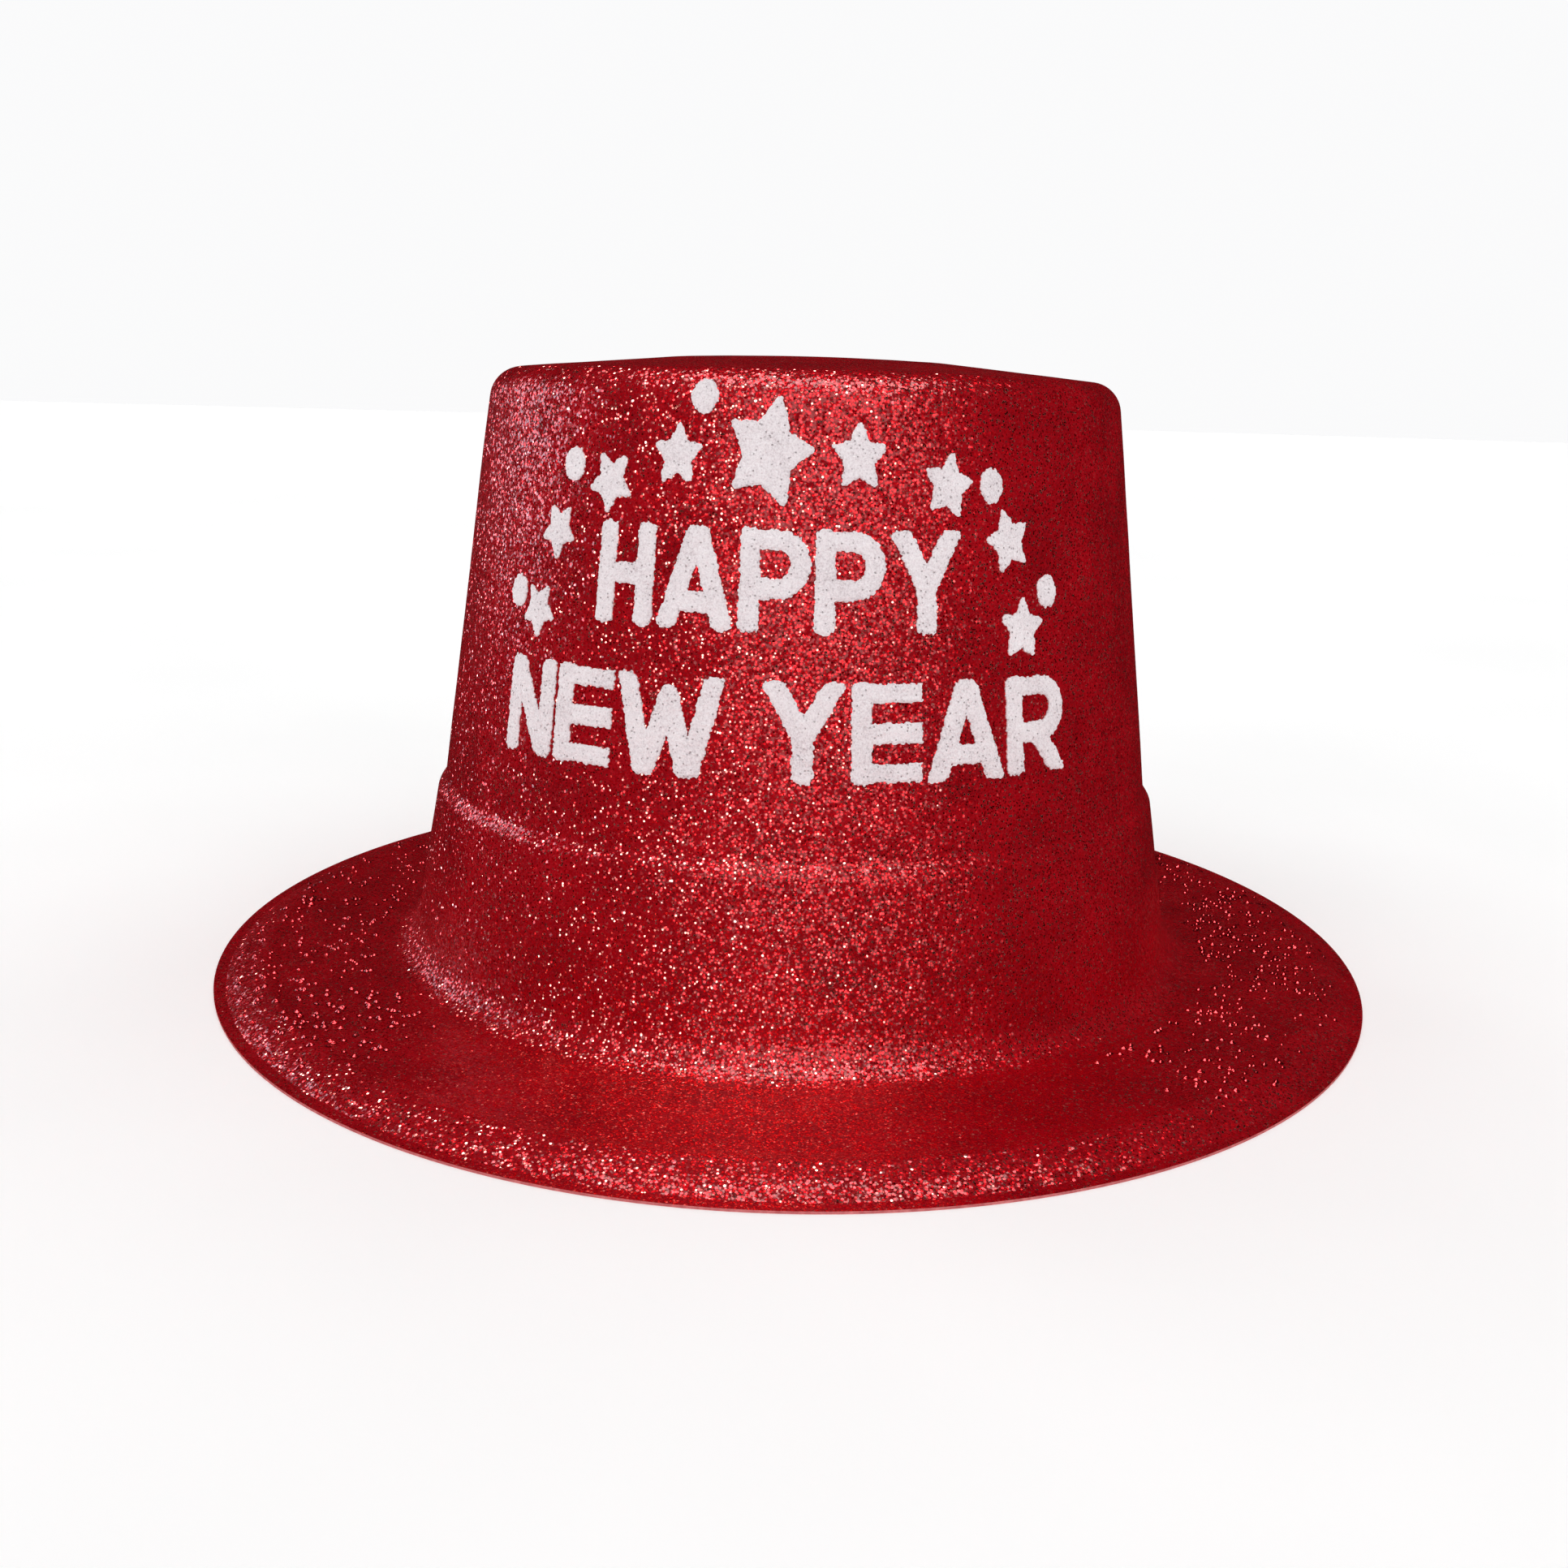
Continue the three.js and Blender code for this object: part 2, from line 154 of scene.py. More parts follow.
STAR_INNER_SHARE = 0.58       # inner radius of a star over its outer radius
STAR_ROUNDING = 0.65
STAR_POINTS = 5
DOT_RADIUS = 2.8

# (words, middle across from the front's middle, base up from the band's ledge, length)
ROWS = [
    (["HAPPY"], -1.2, 43.2, 74),
    (["NEW", "YEAR"], 0, 15, 121),
]

# (name, across, up, radius, clockwise turn in degrees)
STARS = [
    ("star_top", -3.5, 76.5, 9, 14),
    ("star_left_1", -22, 75.5, 5.2, 0),
    ("star_left_2", -37, 70, 5.2, 40),
    ("star_left_3", -50, 60, 4.8, 36),
    ("star_left_4", -54, 44, 4.8, 32),
    ("star_right_1", 14.5, 76, 5.6, 0),
    ("star_right_2", 33, 71, 5.4, 10),
    ("star_right_3", 47, 60.5, 5.4, -14),
    ("star_right_4", 50, 43.5, 5.4, 4),
]

# (name, across, up)
DOTS = [
    ("dot_top", -17, 86.5),
    ("dot_left_1", -47, 73),
    ("dot_left_2", -61, 47),
    ("dot_right_1", 43, 71),
    ("dot_right_2", 57, 50.5),
]

# ---- Stage, lights and camera ----

STAGE_REACH = 20000.0         # from the middle to the floor's sides
BACKDROP_SHARE = 0.9          # the backdrop's radius over the stage's reach
BACKDROP_DIP_SHARE = 0.02     # how far the backdrop goes below the floor
BACKDROP_SIDES = 48

WARM = (1.0, 0.95, 0.92)
COOL = (0.78, 0.84, 1.0)

# (name, place, target, (width, height), watts, colour)
GLINT_LIGHTS = [
    ("softbox", (-10, -170, 950), (0, -100, 0), (800, 460), 18, WARM),
    ("front", (100, -850, 470), (0, 0, 80), (1200, 640), 12.5, WARM),
    ("left", (-850, 330, 320), (0, 0, 90), (400, 300), 3.2, COOL),
]

# (name, place that it shines from, strength)
FILL_LIGHTS = [
    ("fill_top", (0, 0, 1000), 0.5),
    ("fill_left", (-1000, 0, 270), 1.78),
    ("fill_right", (1000, 0, 270), 1.78),
    ("fill_front", (0, -1000, 270), 1.78),
    ("fill_back", (0, 1000, 270), 1.78),
]
FILL_SPREAD = math.radians(100)
WORLD_COLOUR = (0.97, 0.97, 0.98, 1)
WORLD_STRENGTH = 0.006

CAMERA_PLACE = (16.0, -386.6, 125.9)
CAMERA_YAW = -0.048
CAMERA_PITCH = 0.225          # looking down
CAMERA_ROLL = 0.027
CAMERA_LENS = 37.63
SENSOR_WIDTH = 36


# ---- Small helpers ----

def smooth_noise(points, size, seed):
    """Soft random values from -1 to 1 over 3-D points, changing over a distance of about size."""
    table = np.random.default_rng(seed).uniform(-1, 1, (NOISE_TABLE_SIZE,) * 3)
    scaled = np.asarray(points) / size
    cell = np.floor(scaled).astype(int)
    share = scaled - cell
    share = share * share * (3 - 2 * share)
    total = np.zeros(scaled.shape[:-1])
    for corner in itertools.product((0, 1), repeat=3):
        index = (cell + corner) % NOISE_TABLE_SIZE
        weight = np.prod(np.where(corner, share, 1 - share), axis=-1)
        total += weight * table[index[..., 0], index[..., 1], index[..., 2]]
    return total


def layered_noise(points, layers):
    """The sum of soft random values in layers of (strength, size, seed)."""
    return sum(strength * smooth_noise(points, size, seed) for strength, size, seed in layers)


def smooth_step(value, low, high):
    """A soft step from 0 at low to 1 at high."""
    share = np.clip((value - low) / (high - low), 0, 1)
    return share * share * (3 - 2 * share)


def make_object(name, points, faces, materials, face_materials=None):
    """Makes a smooth-shaded object from points in millimetres."""
    mesh = bpy.data.meshes.new(name)
    mesh.from_pydata((np.asarray(points) * MM).tolist(), [], faces)
    for material in materials:
        mesh.materials.append(material)
    if face_materials is not None:
        mesh.polygons.foreach_set("material_index", face_materials)
    mesh.polygons.foreach_set("use_smooth", [True] * len(mesh.polygons))
    mesh.set_sharp_from_angle(angle=SHARP_ANGLE)
    mesh.update()
    obj = bpy.data.objects.new(name, mesh)
    bpy.context.collection.objects.link(obj)
    return obj


# ---- The shell's outline: half-widths along X and heights ----

def arc(centre, radius, start, end):
    """Points along an arc, both ends included."""
    steps = max(2, math.ceil(abs(end - start) / ARC_STEP))
    angles = np.linspace(start, end, steps + 1)
    return np.array(centre) + radius * np.stack([np.cos(angles), np.sin(angles)], axis=1)


def rounded_line(corners):
    """A line through corners given as (x, z, rounding radius), with arcs at the rounded corners."""
    points = [np.array(corners[0][:2])]
    for before, corner, after in zip(corners, corners[1:], corners[2:]):
        middle = np.array(corner[:2])
        incoming = middle - np.array(before[:2])
        outgoing = np.array(after[:2]) - middle
        incoming /= np.linalg.norm(incoming)
        outgoing /= np.linalg.norm(outgoing)
        turn = math.atan2(np.cross(incoming, outgoing), incoming @ outgoing)
        reach = corner[2] * math.tan(abs(turn) / 2)
        side = math.copysign(1, turn)
        start = middle - incoming * reach
        towards_centre = side * np.array([-incoming[1], incoming[0]])
        centre = start + towards_centre * corner[2]
        first = math.atan2(*(start - centre)[::-1])
        points.extend(arc(centre, corner[2], first, first + turn))
    points.append(np.array(corners[-1][:2]))
    return points


def divided(points):
    """Adds points to a line wherever two neighbours are further apart than a row."""
    result = [points[0]]
    for start, end in zip(points, points[1:]):
        steps = max(1, math.ceil(np.linalg.norm(end - start) / ROW_SPACING))
        result.extend(start + (end - start) * step / steps for step in range(1, steps + 1))
    return np.array(result)


wall_length = math.dist(WALL_TOP, WALL_FOOT)
wall_lean = math.asin((WALL_FOOT[0] - WALL_TOP[0]) / wall_length)
corner_centre = (
    WALL_TOP[0] - TOP_CORNER_RADIUS * math.cos(wall_lean),
    WALL_TOP[1] - TOP_CORNER_RADIUS * math.sin(wall_lean),
)
dome_slope = 2 * math.atan(TOP_DOME_RISE / corner_centre[0])
dome_edge = (
    corner_centre[0] + TOP_CORNER_RADIUS * math.sin(dome_slope),
    corner_centre[1] + TOP_CORNER_RADIUS * math.cos(dome_slope),
)
dome_radius = dome_edge[0] / math.sin(dome_slope)


def shell_outline():
    """The outer outline of the shell, from the middle of the top out to the brim's edge."""
    upright = math.pi / 2
    dome_centre = (0, dome_edge[1] - dome_radius * math.cos(dome_slope))
    dome = arc(dome_centre, dome_radius, upright, upright - dome_slope)
    corner = arc(corner_centre, TOP_CORNER_RADIUS, upright - dome_slope, wall_lean)
    below = rounded_line([
        (*WALL_TOP, 0),
        (*WALL_FOOT, WALL_FOOT_ROUND),
        (*BAND_TOP, BAND_TOP_ROUND),
        (*BAND_FOOT, FOOT_FILLET_RADIUS),
        (*BORDER_START, BORDER_START_ROUND),
        (*BORDER_RIDGE, BORDER_RIDGE_ROUND),
        (*BORDER_SHOULDER, BORDER_SHOULDER_ROUND),
        (*LIP_START, LIP_START_ROUND),
        (*BRIM_EDGE, 0),
    ])
    return divided([*dome, *corner[1:], *below[1:]])


def depth_ratio(radius):
    """The shell is oval: depth over width grows from the crown's ratio to the brim's."""
    share = smooth_step(radius, BAND_FOOT[0], BRIM_WIDTH / 2)
    return CROWN_DEPTH + (BRIM_LENGTH / BRIM_WIDTH - CROWN_DEPTH) * share


def around_axis(radius, angle, height):
    """A place on the oval shell; angle 0 is the front and grows towards the viewer's right."""
    return np.stack([
        radius * np.sin(angle),
        -radius * np.cos(angle) * depth_ratio(radius),
        height + 0 * angle,
    ], axis=-1)


outline = shell_outline()


def outline_normals():
    """At each point of the outline, the direction out of the sheet."""
    along = np.gradient(outline, axis=0)
    along /= np.linalg.norm(along, axis=1, keepdims=True)
    return np.stack([-along[:, 1], along[:, 0]], axis=1)


def layer_points(top_depth, foot_depth):
    """Points of the sheet's layer between two depths below its outer face, ring by ring."""
    angles = np.arange(SEGMENTS_AROUND) * 2 * math.pi / SEGMENTS_AROUND
    normals = outline_normals()
    flat = around_axis(outline[:, :1], angles[None, :], outline[:, 1:])
    wave = layered_noise(flat, SHEET_WAVES)
    wave *= smooth_step(BRIM_EDGE[0] - outline[:, :1], 0, CALM_EDGE)
    layers = []
    for depth in (top_depth, foot_depth):
        offset = wave - depth
        radius = np.maximum(outline[:, :1] + normals[:, :1] * offset, 0)
        height = outline[:, 1:] + normals[:, 1:] * offset
        layers.append(around_axis(radius, angles[None, :], height))
    for layer in layers:
        layer[0] = layer[0].mean(axis=0)
    front, back = layers
    return np.concatenate([
        front[0, :1],
        front[1:].reshape(-1, 3),
        back[:0:-1].reshape(-1, 3),
        back[0, :1],
    ])


def layer_faces():
    """Faces of a layer, closed at its middle and round its cut edge, and the kind of each face."""
    count = SEGMENTS_AROUND
    rows = len(outline)
    ring_count = 2 * (rows - 1)
    last = 1 + ring_count * count
    faces = []
    for ring in range(ring_count - 1):
        start = 1 + ring * count
        for column in range(count):
            beside = (column + 1) % count
            faces.append((
                start + column,
                start + count + column,
                start + count + beside,
                start + beside,
            ))
    for column in range(count):
        beside = (column + 1) % count
        faces.append((0, 1 + column, 1 + beside))
        low = last - count
        faces.append((last, low + beside, low + column))
    rim = (rows - 2) * count
    kinds = np.full(len(faces), FACE_KIND)
    kinds[rim:rim + count] = CUT_KIND
    return faces, kinds


# ---- Blisters ----

def brim_height(radius):
    """Height of the brim's upper face."""
    start = int(np.argmax(outline[:, 0] > FLAT_BRIM_START))
    return np.interp(radius, outline[start:, 0], outline[start:, 1])


def blister(random, angle, radius, size):
    """One soft dome that runs out level with the brim."""
    turn = random.uniform(0, math.pi)
    longer = random.uniform(*BLISTER_STRETCH)
    rise = size * random.uniform(*BLISTER_RISE)
    centre = around_axis(np.array(radius), np.array(angle), np.array(0.0))
    around = np.arange(BLISTER_SIDES) * 2 * math.pi / BLISTER_SIDES
    points = []
    for share in (*BLISTER_RINGS, 0.0):
        steps = around if share > 0 else around[:1]
        along = size * share * longer * np.cos(steps)
        beside = size * share / longer * np.sin(steps)
        x = centre[0] + along * math.cos(turn) - beside * math.sin(turn)
        y = centre[1] + along * math.sin(turn) + beside * math.cos(turn)
        reached = np.hypot(x, y / depth_ratio(radius))
        dome = 0.5 + 0.5 * math.cos(math.pi * share)
        height = brim_height(reached) - BLISTER_SINK + rise * dome
        points.append(np.stack([x, y, height], axis=-1))
    faces = []
    for ring in range(len(BLISTER_RINGS) - 1):
        for column in range(BLISTER_SIDES):
            beside = (column + 1) % BLISTER_SIDES
            low = ring * BLISTER_SIDES
            faces.append((
                low + column,
                low + beside,
                low + BLISTER_SIDES + beside,
                low + BLISTER_SIDES + column,
            ))
    low = (len(BLISTER_RINGS) - 1) * BLISTER_SIDES
    for column in range(BLISTER_SIDES):
        faces.append((low + column, low + (column + 1) % BLISTER_SIDES, low + BLISTER_SIDES))
    return np.concatenate(points), faces


def blisters():
    """Clusters of blisters on the brim's sides and back."""
    random = np.random.default_rng(5)
    points = []
    faces = []
    count = 0
    for cluster in range(BLISTER_CLUSTERS):
        angle = math.pi + random.uniform(-1, 1) * BLISTER_REACH
        radius = random.uniform(*BLISTER_ZONE)
        for member in range(random.integers(*CLUSTER_MEMBERS)):
            place_angle = angle + random.normal(0, CLUSTER_ANGLE)
            place_radius = radius + random.normal(0, CLUSTER_WIDTH)
            place_radius = np.clip(place_radius, BLISTER_ZONE[0], BLISTER_LIMIT)
            size = random.uniform(*BLISTER_SIZES)
            new_points, new_faces = blister(random, place_angle, place_radius, size)
            points.append(new_points)
            faces.extend(tuple(index + count for index in face) for face in new_faces)
            count += len(new_points)
    return np.concatenate(points), faces


# ---- Materials ----

class Nodes:
    """Short calls for building one material's nodes."""

    def __init__(self, name):
        self.material = bpy.data.materials.new(name)
        self.material.use_nodes = True
        self.tree = self.material.node_tree
        self.shader = self.tree.nodes["Principled BSDF"]

    def add(self, kind, inputs=None, **settings):
        """Adds a node with these settings, and sets or links its inputs."""
        node = self.tree.nodes.new(kind)
        for key, value in settings.items():
            setattr(node, key, value)
        for key, value in (inputs or {}).items():
            self.put(node.inputs[key], value)
        return node

    def put(self, socket, value):
        """Links a socket to another, or sets it to a value."""
        if isinstance(value, bpy.types.NodeSocket):
            self.tree.links.new(value, socket)
        else:
            socket.default_value = value

    def millimetres(self):
        """The place on the object, in millimetres."""
        return self.scaled(self.add("ShaderNodeTexCoord").outputs["Object"], 1 / MM)

    def math(self, operation, first, second=0.0, third=0.0):
        node = self.add("ShaderNodeMath", {0: first, 1: second, 2: third}, operation=operation)
        return node.outputs[0]

    def vector(self, operation, first, second=(0, 0, 0)):
        node = self.add("ShaderNodeVectorMath", {0: first, 1: second}, operation=operation)
        return node.outputs[0]

    def scaled(self, vector, scale):
        inputs = {0: vector, "Scale": scale}
        return self.add("ShaderNodeVectorMath", inputs, operation="SCALE").outputs[0]

    def step(self, value, low, high, to_low=0.0, to_high=1.0):
        """Turns a value between low and high into a soft step."""
        inputs = {0: value, 1: low, 2: high, 3: to_low, 4: to_high}
        node = self.add("ShaderNodeMapRange", inputs, interpolation_type="SMOOTHSTEP")
        return node.outputs[0]

    def noise(self, place, size, detail=2.0, roughness=0.5):
        inputs = {"Vector": place, "Scale": 1 / size, "Detail": detail, "Roughness": roughness}
        return self.add("ShaderNodeTexNoise", inputs).outputs["Fac"]

    def cells(self, place, size):
        """Random cells of about this size."""
        return self.add("ShaderNodeTexVoronoi", {"Vector": place, "Scale": 1 / size})

    def random(self, place):
        """A random value and colour for each place."""
        return self.add("ShaderNodeTexWhiteNoise", {"Vector": place})

    def ramp(self, value, stops):
        """Colours by value: stops are (place, (r, g, b))."""
        node = self.add("ShaderNodeValToRGB", {"Fac": value})
        elements = node.color_ramp.elements
        while len(elements) < len(stops):
            elements.new(0.5)
        for element, (place, colour) in zip(elements, stops):
            element.position = place
            element.color = (*colour, 1)
        return node.outputs["Color"]

    def blend(self, first, second, share):
        """The mean of two values, with this share of the first."""
        rest = self.math("MULTIPLY", second, 1 - share)
        return self.math("MULTIPLY_ADD", first, share, rest)

    def mix(self, share, first, second):
        """A mean of two colours; sockets 6 and 7 are the node's inputs for colours."""
        inputs = {"Factor": share, 6: first, 7: second}
        return self.add("ShaderNodeMix", inputs, data_type="RGBA").outputs[2]

    def bump(self, height, depth):
        """A relief of this depth in millimetres."""
        inputs = {"Height": height, "Distance": depth * MM, "Strength": 1.0}
        return self.add("ShaderNodeBump", inputs).outputs["Normal"]

    def set(self, **values):
        """Sets or links the shader's own sockets."""
        for key, value in values.items():
            self.put(self.shader.inputs[key.replace("_", " ")], value)


def glitter_material():
    """Deep red plastic full of flat flakes, each tilted its own way, under a clear gloss."""
    nodes = Nodes("red_glitter_plastic")
    place = nodes.millimetres()
    flakes = nodes.cells(place, FLAKE_SIZE)
    chance = nodes.random(flakes.outputs["Position"])
    tilt = nodes.vector("ADD", flakes.outputs["Color"], chance.outputs["Color"])
    tilt = nodes.vector("SUBTRACT", tilt, (1, 1, 1))
    surface = nodes.add("ShaderNodeNewGeometry").outputs["Normal"]
    upward = nodes.add("ShaderNodeSeparateXYZ", {"Vector": surface}).outputs["Z"]
    flat_tilt = FLAKE_TILT * FLAT_TILT_SHARE
    spread = nodes.step(upward, low=0.95, high=0.995, to_low=FLAKE_TILT, to_high=flat_tilt)
    bolder = nodes.step(chance.outputs["Value"], low=0.3, high=1.0, to_low=0.75, to_high=1.7)
    tilt = nodes.scaled(tilt, nodes.math("MULTIPLY", spread, bolder))
    flake_normal = nodes.vector("NORMALIZE", nodes.vector("ADD", surface, tilt))

    distance = flakes.outputs["Distance"]
    body = nodes.step(distance, low=0.36, high=0.52, to_low=1.0, to_high=0.0)
    patch = nodes.noise(place, size=14, detail=3)
    grain = nodes.noise(place, size=0.35, detail=3, roughness=0.7)
    # The flakes' own reds run from deep to bright red; the pale salmon at the top stop is painted
    # highlight colour, so that the brightest flakes glint pale salmon rather than red.
    flake_and_glint_colour = nodes.ramp(chance.outputs["Value"], [
        (0.0, (0.36, 0.0005, 0.004)),
        (0.5, (0.66, 0.0010, 0.007)),
        (0.80, (0.90, 0.012, 0.018)),
        (1.0, (0.98, 0.46, 0.38)),
    ])
    plastic = nodes.ramp(nodes.blend(grain, patch, share=0.7), [
        (0.35, (0.13, 0.0003, 0.003)),
        (0.65, (0.42, 0.0007, 0.007)),
    ])
    shine = nodes.step(chance.outputs["Value"], low=0.0, high=0.85, to_low=0.45, to_high=1.0)
    dullness = nodes.step(chance.outputs["Value"], low=0.0, high=1.0, to_low=0.36, to_high=0.2)
    nodes.set(
        Base_Color=nodes.mix(body, plastic, flake_and_glint_colour),
        Metallic=nodes.math("MULTIPLY", body, shine),
        Roughness=dullness,
        Normal=flake_normal,
        Specular_IOR_Level=0.03,
        Specular_Tint=(1, 0.3, 0.32, 1),
        Coat_Weight=0.33,
        Coat_Roughness=0.18,
        Coat_Normal=flake_normal,
    )
    return nodes.material


def blister_material():
    """Blisters have clear plastic over the colour, so they are smooth and glossy."""
    nodes = Nodes("blistered_red_plastic")
    place = nodes.millimetres()
    tone = nodes.noise(place, size=0.9, detail=2)
    colour = nodes.ramp(tone, [
        (0.3, (0.17, 0.001, 0.005)),
        (0.7, (0.42, 0.007, 0.014)),
    ])
    nodes.set(
        Base_Color=colour,
        Metallic=0.85,
        Roughness=0.24,
        Specular_IOR_Level=0.2,
        Coat_Weight=0.4,
        Coat_Roughness=0.15,
        Normal=nodes.bump(nodes.noise(place, size=0.5, detail=2), depth=0.02),
    )
    return nodes.material


def inner_material():
    """The plain side of the sheet: glossy red plastic with the flakes showing faintly through."""
    nodes = Nodes("red_plastic_inside")
    place = nodes.millimetres()
    flakes = nodes.cells(place, FLAKE_SIZE)
    chance = nodes.random(flakes.outputs["Position"])
    patch = nodes.noise(place, size=22, detail=4, roughness=0.6)
    shade = nodes.math("MULTIPLY_ADD", chance.outputs["Value"], 0.35, patch)
    colour = nodes.ramp(shade, [
        (0.35, (0.17, 0.004, 0.010)),
        (0.95, (0.30, 0.012, 0.018)),
    ])
    relief = nodes.noise(place, size=3.5, detail=3)
    nodes.set(
        Base_Color=colour,
        Roughness=nodes.step(patch, low=0.3, high=0.7, to_low=0.30, to_high=0.46),
        Specular_IOR_Level=0.35,
        Normal=nodes.bump(relief, depth=0.08),
        Coat_Weight=0.15,
        Coat_Roughness=0.25,
    )
    return nodes.material


def cut_edge_material():
    """The sheet's trimmed edge, in a paler, streaky red."""
    nodes = Nodes("cut_plastic_edge")
    place = nodes.millimetres()
    streak = nodes.noise(place, size=1.6, detail=4, roughness=0.7)
    colour = nodes.ramp(streak, [
        (0.3, (0.46, 0.06, 0.065)),
        (0.7, (0.72, 0.20, 0.20)),
    ])
    nodes.set(Base_Color=colour, Roughness=0.55, Normal=nodes.bump(streak, depth=0.05))
    return nodes.material


def print_material():
    """Raised white print with a sandy surface and tiny pits, which are painted a grey shade."""
    nodes = Nodes("white_raised_print")
    place = nodes.millimetres()
    grain = nodes.noise(place, size=0.42, detail=3, roughness=0.75)
    patch = nodes.noise(place, size=7, detail=3)
    pits = nodes.cells(place, size=0.62)
    chance = nodes.random(pits.outputs["Position"])
    rare = nodes.step(chance.outputs["Value"], low=0.72, high=0.8)
    hollow = nodes.step(pits.outputs["Distance"], low=0.12, high=0.34, to_low=1.0, to_high=0.0)
    pit = nodes.math("MULTIPLY", rare, hollow)
    white = nodes.ramp(nodes.blend(grain, patch, share=0.75), [
        (0.32, (0.58, 0.50, 0.525)),
        (0.47, (0.83, 0.75, 0.775)),
        (0.64, (0.95, 0.89, 0.91)),
    ])
    # Painted shade: the pits' grey stands in for the shade inside these tiny hollows.
    pit_shade_colour = (0.42, 0.33, 0.35, 1)
    pit_shade_share = nodes.math("MULTIPLY", pit, 0.75)
    colour = nodes.mix(pit_shade_share, white, pit_shade_colour)
    height = nodes.math("SUBTRACT", grain, pit)
    nodes.set(
        Base_Color=colour,
        Roughness=0.92,
        Specular_IOR_Level=0.2,
        Sheen_Weight=0.15,
        Sheen_Roughness=0.5,
        Normal=nodes.bump(height, depth=0.3),
    )
    return nodes.material


def floor_material():
    """Pale matt paper that glows a little, so that it stays near white."""
    nodes = Nodes("pale_floor")
    place = nodes.millimetres()
    tone = nodes.noise(place, size=160, detail=3)
    nodes.set(
        Base_Color=nodes.ramp(tone, [(0.3, (0.90, 0.90, 0.90)), (0.7, (0.94, 0.94, 0.94))]),
        Roughness=0.7,
        Specular_IOR_Level=0.0,
        Emission_Color=(1, 1, 1, 1),
        Emission_Strength=0.12,
    )
    return nodes.material


def backdrop_material():
    """An evenly lit pale paper."""
    nodes = Nodes("pale_backdrop")
    nodes.set(Base_Color=(0, 0, 0, 1), Specular_IOR_Level=0.0)
    nodes.set(Emission_Color=(0.96, 0.96, 0.965, 1), Emission_Strength=1.0)
    return nodes.material


glitter = glitter_material()
blister_plastic = blister_material()
inner_plastic = inner_material()
cut_edge = cut_edge_material()
white_print = print_material()


# ---- Building the shell ----

def build_shell():
    """The sheet in two layers: the glitter skin with its blisters, and the plain inner face."""
    faces, kinds = layer_faces()
    points = layer_points(0.0, SHEET * SKIN_SHARE)
    more_points, more_faces = blisters()
    shifted = [tuple(index + len(points) for index in face) for face in more_faces]
    skin = make_object(
        "glitter_skin",
        np.concatenate([points, more_points]),
        faces + shifted,
        [glitter, cut_edge, blister_plastic],
        np.concatenate([kinds, np.full(len(shifted), BLISTER_KIND)]),
    )
    points = layer_points(SHEET * (SKIN_SHARE + LAYER_GAP_SHARE), SHEET)
    inside = make_object("inner_face", points, faces, [inner_plastic, cut_edge], kinds)
    for piece in (skin, inside):
        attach(piece, "root")
        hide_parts("shell")


# ---- Prints: distance fields of flat shapes, negative inside ----

def distance_to_segment(points, start, end):
    """Distance from each point to a straight line's nearest place."""
    start = np.array(start)
    along = np.array(end) - start
    share = np.clip(((points - start) @ along) / (along @ along), 0, 1)
    return np.linalg.norm(points - start - share[..., None] * along, axis=-1)


def rounded_cut(first, second):
    """The part that two shapes share, with its corners rounded."""
    close = np.maximum(CORNER_ROUNDING - np.abs(first - second), 0)
    return np.maximum(first, second) + close * close / (4 * CORNER_ROUNDING)


def stroke_field(strokes, width):
    """Thick strokes, cut to the letter's rectangle so that they end flat."""
    size = np.array([width, CAP_HEIGHT])

    def field(points):
        nearest = np.full(points.shape[:-1], np.inf)
        for stroke in strokes:
            for start, end in zip(stroke, stroke[1:]):
                nearest = np.minimum(nearest, distance_to_segment(points, start, end))
        outside = np.abs(points - size / 2) - size / 2
        return np.maximum(rounded_cut(nearest - STROKE / 2, outside[..., 1]), outside[..., 0])

    return field


def polygon_field(corners):
    """Distance to a polygon's outline, negative inside."""
    corners = np.array(corners)

    def field(points):
        nearest = np.full(points.shape[:-1], np.inf)
        inside = np.zeros(points.shape[:-1], dtype=bool)
        for start, end in zip(corners, np.roll(corners, -1, axis=0)):
            nearest = np.minimum(nearest, distance_to_segment(points, start, end))
            crosses = (start[1] > points[..., 1]) != (end[1] > points[..., 1])
            rise = end[1] - start[1]
            meets = start[0] + (points[..., 1] - start[1]) * (end[0] - start[0]) / (rise or 1)
            inside ^= crosses & (points[..., 0] < meets)
        return np.where(inside, -nearest, nearest) - STAR_ROUNDING

    return field


def star_field(radius, turn):
    """A five-pointed star, taller than wide, turned clockwise."""
    corners = []
    for corner in range(2 * STAR_POINTS):
        reach = (radius if corner % 2 == 0 else radius * STAR_INNER_SHARE) - STAR_ROUNDING
        angle = math.pi / 2 - turn + corner * math.pi / STAR_POINTS
        corners.append((reach * math.cos(angle), reach * math.sin(angle) * PRINT_STRETCH))
    return polygon_field(corners)


def dot_field(points):
    """An oval, taller than wide."""
    return np.linalg.norm(points / np.array([1, PRINT_STRETCH]), axis=-1) - DOT_RADIUS


def on_crown(across, up, out):
    """A place on the crown: across from the front's middle, up from the band, out of the surface."""
    past_wall = np.maximum(up - wall_length, 0)
    slope = wall_lean + past_wall / TOP_CORNER_RADIUS
    on_corner = past_wall > 0
    radius = np.where(
        on_corner,
        corner_centre[0] + TOP_CORNER_RADIUS * np.cos(slope),
        WALL_FOOT[0] - up * math.sin(wall_lean),
    )
    height = np.where(
        on_corner,
        corner_centre[1] + TOP_CORNER_RADIUS * np.sin(slope),
        WALL_FOOT[1] + up * math.cos(wall_lean),
    )
    radius = radius + out * np.cos(slope)
    height = height + out * np.sin(slope)
    angle = across / PRINT_RADIUS
    return np.stack([
        radius * np.sin(angle),
        -radius * np.cos(angle) * CROWN_DEPTH,
        height,
    ], axis=-1)


